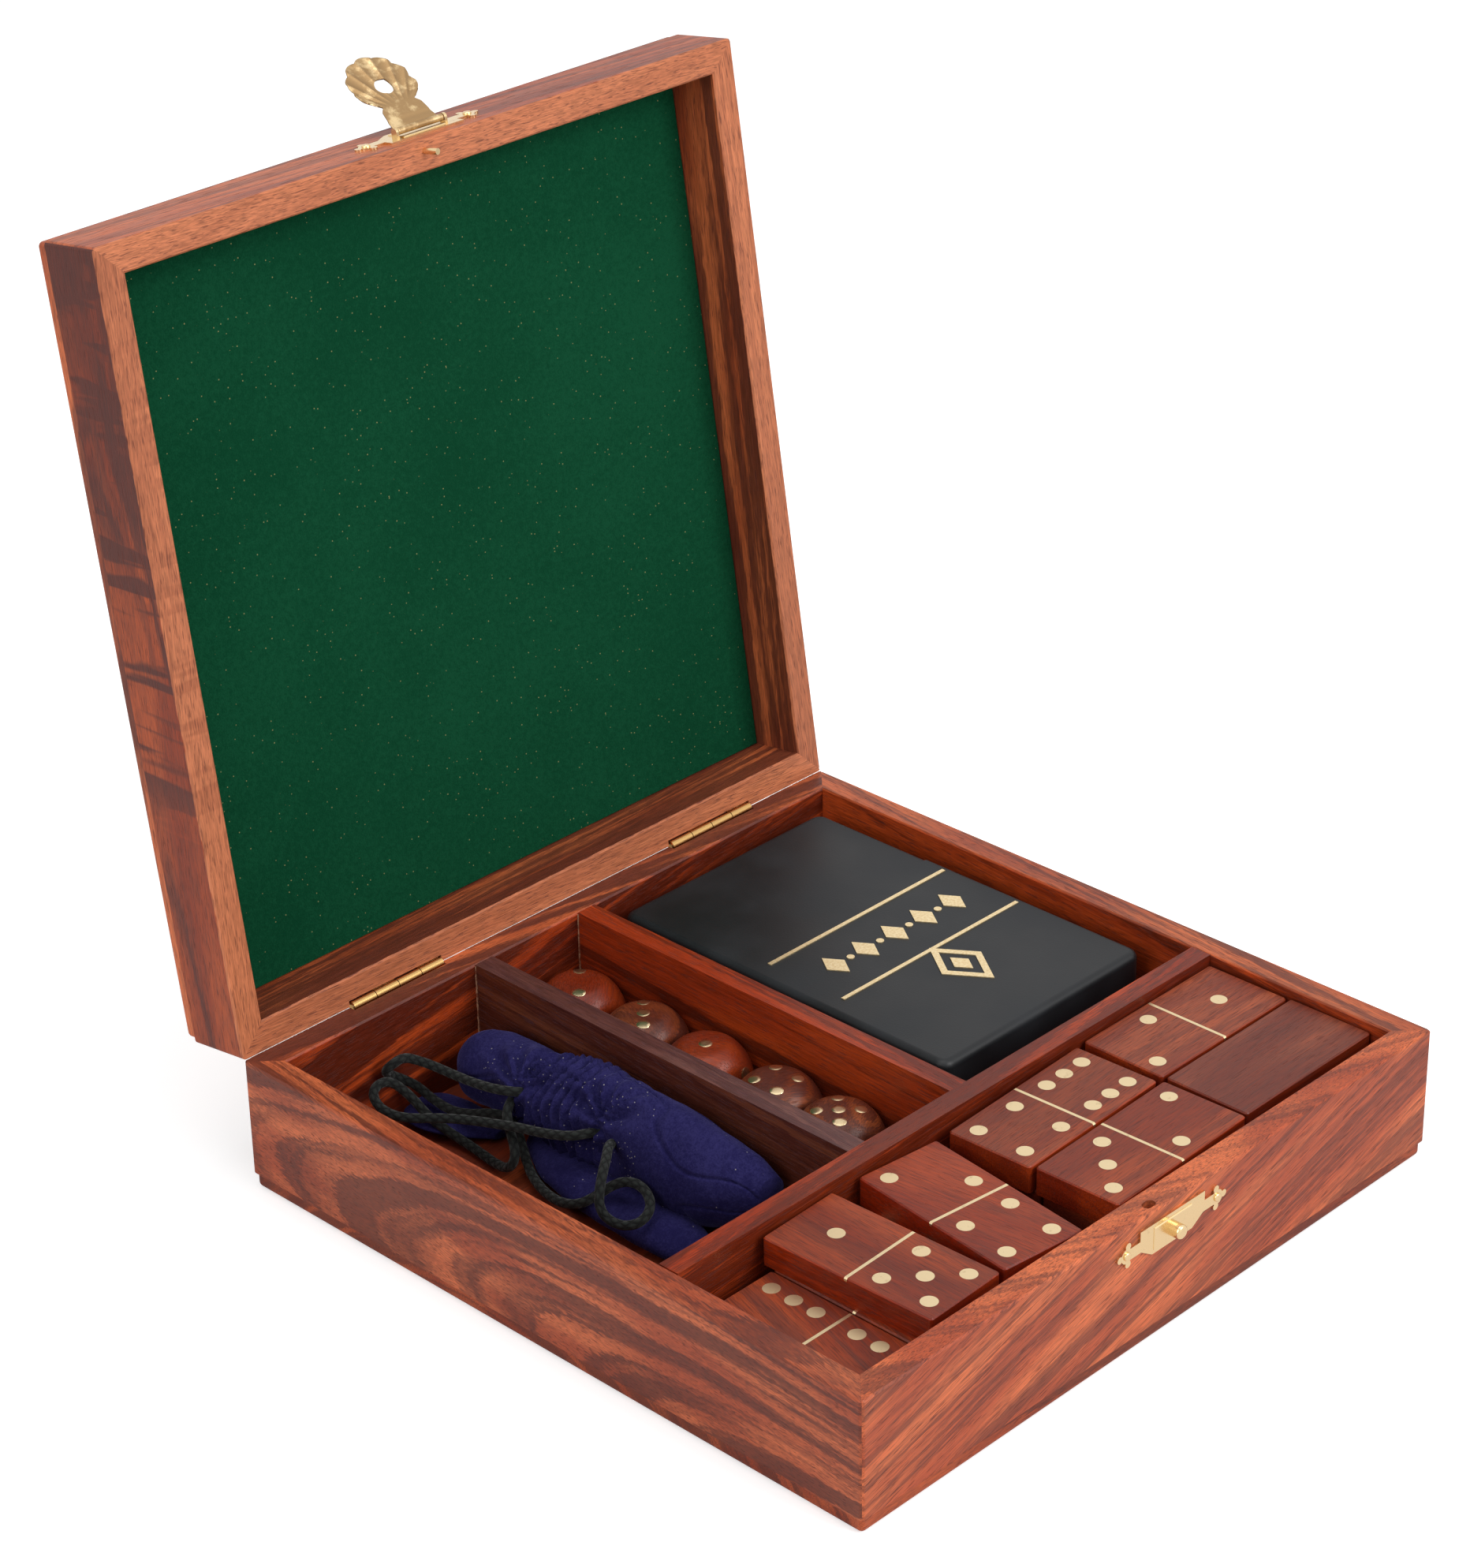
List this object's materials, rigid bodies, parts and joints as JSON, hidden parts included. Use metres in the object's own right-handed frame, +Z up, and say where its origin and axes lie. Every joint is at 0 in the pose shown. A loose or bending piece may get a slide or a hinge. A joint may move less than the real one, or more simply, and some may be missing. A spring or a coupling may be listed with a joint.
{
  "type": "games compendium box",
  "caption": "Hinged hardwood games box, velvet-lined lid, brass shell clasp; compartments hold dominoes, dice, a card case and a drawstring pouch.",
  "frame": {"origin": "centre of the box's underside", "axes": "+X to the right for a person facing the clasp, +Y from the clasp to the hinges, +Z up"},
  "size_m": [0.178, 0.2286, 0.2171],
  "materials": {
    "box_wood": "figured rosewood, sanded and oiled",
    "panel_wood": "figured rosewood, oiled",
    "divider_wood": "plain rosewood, top sanded",
    "domino_wood": "fine-grained rosewood, polished",
    "die_orange_wood": "polished orange-red heartwood",
    "die_dark_wood": "polished dark rosewood",
    "lining_board": "plain board, hidden",
    "brass": "pale, lightly tarnished",
    "tarnished_brass": "brown tarnish in the flutes",
    "inlaid_brass": "flush and satin",
    "green_velvet": "short pile",
    "indigo_velvet": "short pile with lint",
    "black_cord": "fine braid",
    "case_plastic": "fine matte",
    "gold_print": "metallic foil print",
    "playing_cards": "coated card"
  },
  "bodies": {
    "base": {"base_back_wall": "box_wood", "base_clasp_nails": "brass", "base_clasp_plate": "brass", "base_front_wall": "box_wood", "base_left_wall": "box_wood", "base_right_wall": "box_wood", "bottom_panel": "panel_wood", "clasp_knob": "brass", "dice_case_divider": "divider_wood", "left_hinge_base_leaf": "brass", "left_hinge_pin": "brass", "long_divider": "divider_wood", "pouch_dice_divider": "divider_wood", "right_hinge_base_leaf": "brass", "right_hinge_pin": "brass"},
    "lid": {"guide_pin": "brass", "hasp_pin": "brass", "left_hinge_lid_leaf": "brass", "lid_back_wall": "box_wood", "lid_clasp_nails": "brass", "lid_clasp_plate": "brass", "lid_front_wall": "box_wood", "lid_left_wall": "box_wood", "lid_lining_board": "lining_board", "lid_right_wall": "box_wood", "lid_top_panel": "panel_wood", "lid_velvet_lining": "green_velvet", "right_hinge_lid_leaf": "brass"},
    "hasp": {"shell_hasp": "tarnished_brass"},
    "case_cap": {"card_case_cap": "case_plastic"},
    "case_body": {"card_case_body": "case_plastic", "card_case_gilding": "gold_print", "card_deck": "playing_cards"},
    "pouch": {"pouch_bag": "indigo_velvet", "drawstring_rear": "black_cord", "drawstring_front": "black_cord"},
    "dominoes_below": {"lower_dominoes": "domino_wood", "lower_domino_inlays": "inlaid_brass"},
    "die_1": {"die_1": "die_orange_wood", "die_1_pips": "inlaid_brass"},
    "die_2": {"die_2": "die_dark_wood", "die_2_pips": "inlaid_brass"},
    "die_3": {"die_3": "die_orange_wood", "die_3_pips": "inlaid_brass"},
    "die_4": {"die_4": "die_dark_wood", "die_4_pips": "inlaid_brass"},
    "die_5": {"die_5": "die_dark_wood", "die_5_pips": "inlaid_brass"},
    "domino_a": {"domino_a": "domino_wood", "domino_a_inlay": "inlaid_brass"},
    "domino_b": {"domino_b": "domino_wood", "domino_b_inlay": "inlaid_brass"},
    "domino_c": {"domino_c": "domino_wood", "domino_c_inlay": "inlaid_brass"},
    "domino_d": {"domino_d": "domino_wood", "domino_d_inlay": "inlaid_brass"},
    "domino_e": {"domino_e": "domino_wood", "domino_e_inlay": "inlaid_brass"},
    "domino_f": {"domino_f": "domino_wood"}
  },
  "joints": [
    {"name": "lid_hinge", "type": "hinge", "parent": "base", "child": "lid", "pos_m": [0, 0.088, 0.0312], "axis": [-1, 0, 0], "range_deg": [-98.3, 0]},
    {"name": "hasp_hinge", "type": "hinge", "parent": "lid", "child": "hasp", "pos_m": [0.0015, 0.1193, 0.20627], "axis": [-1, 0, 0], "range_deg": [-139.5, 0]},
    {"name": "card_case_lift", "type": "slide", "parent": "base", "child": "case_cap", "axis": [0, 0, 1], "range_m": [0, 0.06]},
    {"name": "card_case_slide", "type": "slide", "parent": "case_cap", "child": "case_body", "axis": [0, -1, 0], "range_m": [0, 0.0093]},
    {"name": "pouch_lift", "type": "slide", "parent": "base", "child": "pouch", "axis": [0, 0, 1], "range_m": [0, 0.06]},
    {"name": "die_1_lift", "type": "slide", "parent": "base", "child": "die_1", "axis": [0, 0, 1], "range_m": [0, 0.06]},
    {"name": "die_2_lift", "type": "slide", "parent": "base", "child": "die_2", "axis": [0, 0, 1], "range_m": [0, 0.06]},
    {"name": "die_3_lift", "type": "slide", "parent": "base", "child": "die_3", "axis": [0, 0, 1], "range_m": [0, 0.06]},
    {"name": "die_4_lift", "type": "slide", "parent": "base", "child": "die_4", "axis": [0, 0, 1], "range_m": [0, 0.06]},
    {"name": "die_5_lift", "type": "slide", "parent": "base", "child": "die_5", "axis": [0, 0, 1], "range_m": [0, 0.06]},
    {"name": "lower_dominoes_lift", "type": "slide", "parent": "base", "child": "dominoes_below", "axis": [0, 0, 1], "range_m": [0, 0.04]},
    {"name": "domino_a_lift", "type": "slide", "parent": "dominoes_below", "child": "domino_a", "axis": [0, 0, 1], "range_m": [0, 0.05]},
    {"name": "domino_b_lift", "type": "slide", "parent": "dominoes_below", "child": "domino_b", "axis": [0, 0, 1], "range_m": [0, 0.05]},
    {"name": "domino_c_lift", "type": "slide", "parent": "dominoes_below", "child": "domino_c", "axis": [0, 0, 1], "range_m": [0, 0.05]},
    {"name": "domino_d_lift", "type": "slide", "parent": "dominoes_below", "child": "domino_d", "axis": [0, 0, 1], "range_m": [0, 0.05]},
    {"name": "domino_e_lift", "type": "slide", "parent": "dominoes_below", "child": "domino_e", "axis": [0, 0, 1], "range_m": [0, 0.05]},
    {"name": "domino_f_lift", "type": "slide", "parent": "dominoes_below", "child": "domino_f", "axis": [0, 0, 1], "range_m": [0, 0.05]}
  ]
}
